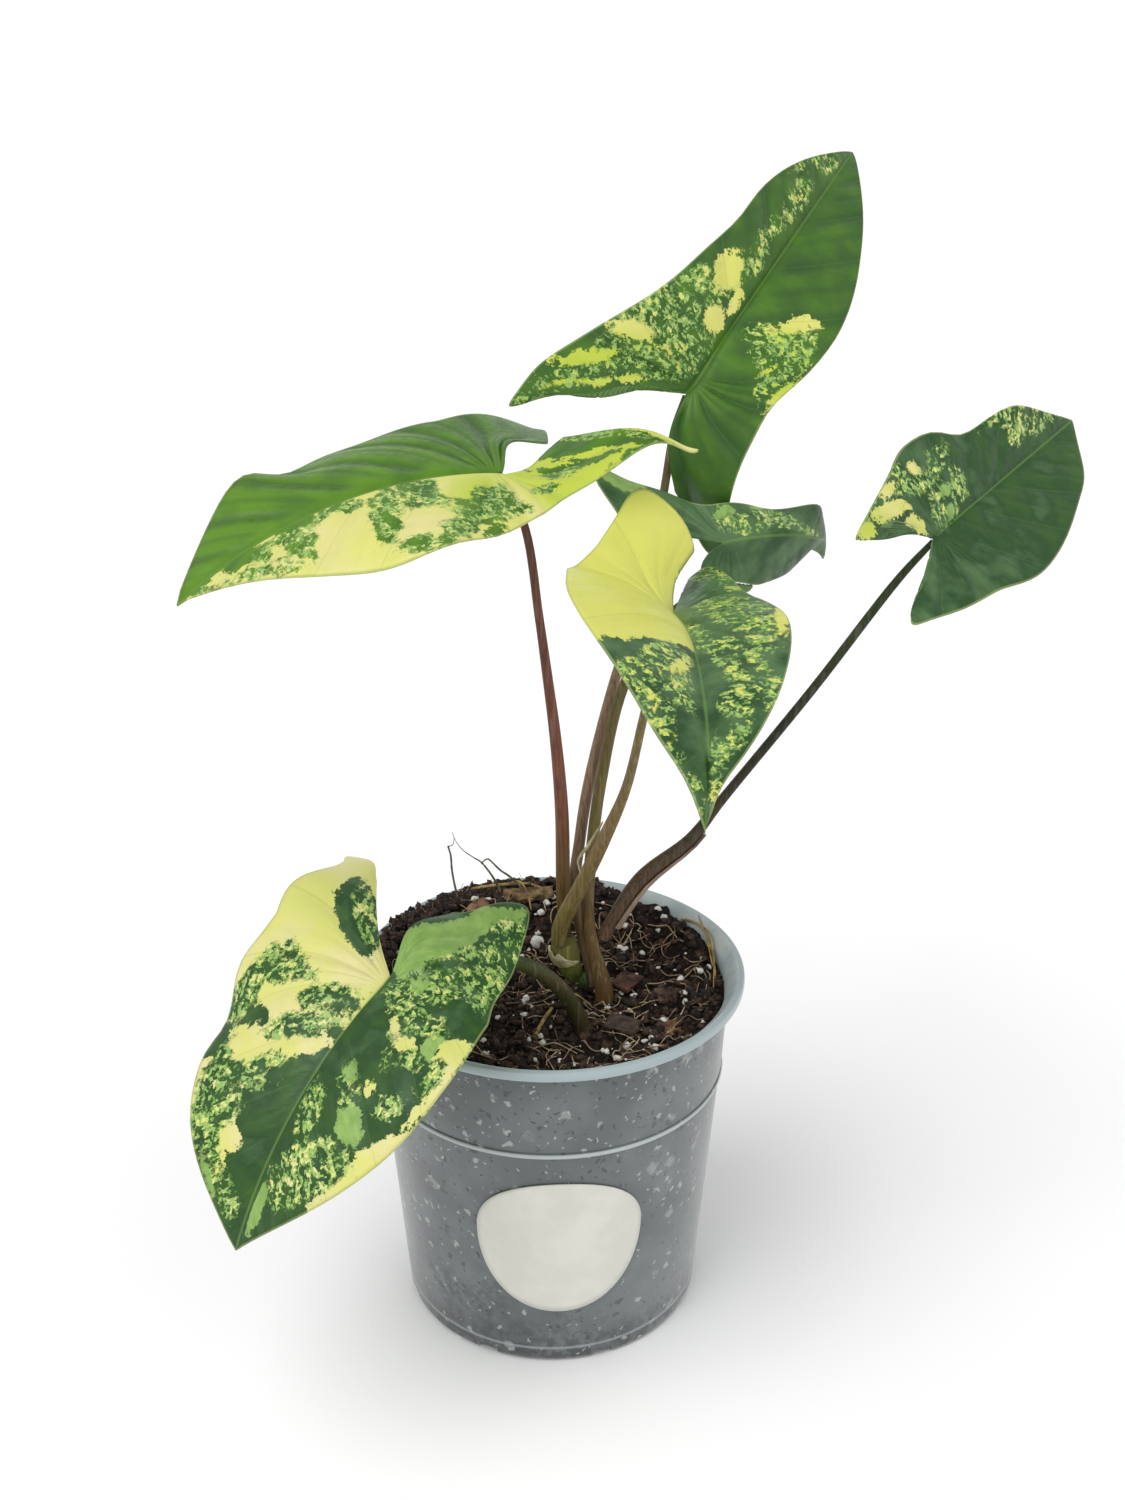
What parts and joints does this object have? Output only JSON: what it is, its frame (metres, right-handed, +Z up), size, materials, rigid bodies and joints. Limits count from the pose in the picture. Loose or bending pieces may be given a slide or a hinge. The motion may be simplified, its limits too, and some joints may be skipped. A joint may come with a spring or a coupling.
{
  "type": "potted arrowhead plant",
  "caption": "Variegated arrowhead house plant with lobed leaves on long stalks, growing in a translucent tapered nursery pot of soil.",
  "frame": {"origin": "centre of the pot's flat base, on the surface that the pot stands on", "axes": "+Z up; -Y towards the label; the lowest leaf hangs over the rim at -X"},
  "size_m": [0.2684, 0.2726, 0.3453],
  "materials": {
    "pot": "frosted translucent",
    "label": "plain matt sticker",
    "soil": "crumbly peat with white grains",
    "cane": "green stem skin",
    "stalk": "satin stem skin",
    "leaf": "satin leaf, cream and lime marbling",
    "paper": "dry papery skin",
    "bark": "rough bark",
    "twig": "dry wiry stem"
  },
  "bodies": {
    "root": {"pot": "pot", "label": "label", "soil": "soil", "cane": "cane", "cane_cuff": "paper", "bud": "cane", "stalk_left": "stalk", "stalk_top": "stalk", "stalk_right": "stalk", "stalk_front": "stalk", "stalk_back": "stalk", "stalk_low": "stalk", "stalk_sheath": "paper", "dry_curl": "paper", "leaf_left": "leaf", "leaf_top": "leaf", "leaf_right": "leaf", "leaf_front": "leaf", "leaf_back": "leaf", "leaf_low": "leaf", "bark_chip_ribbed": "bark", "bark_chip_red": "bark", "bark_chip_dark": "bark", "bark_chip_side": "bark", "bark_chip_back": "bark", "bark_chip_left": "bark", "dry_twig_tall": "twig", "dry_twig_leaning": "twig", "dry_twig_arched": "twig"}
  },
  "joints": []
}
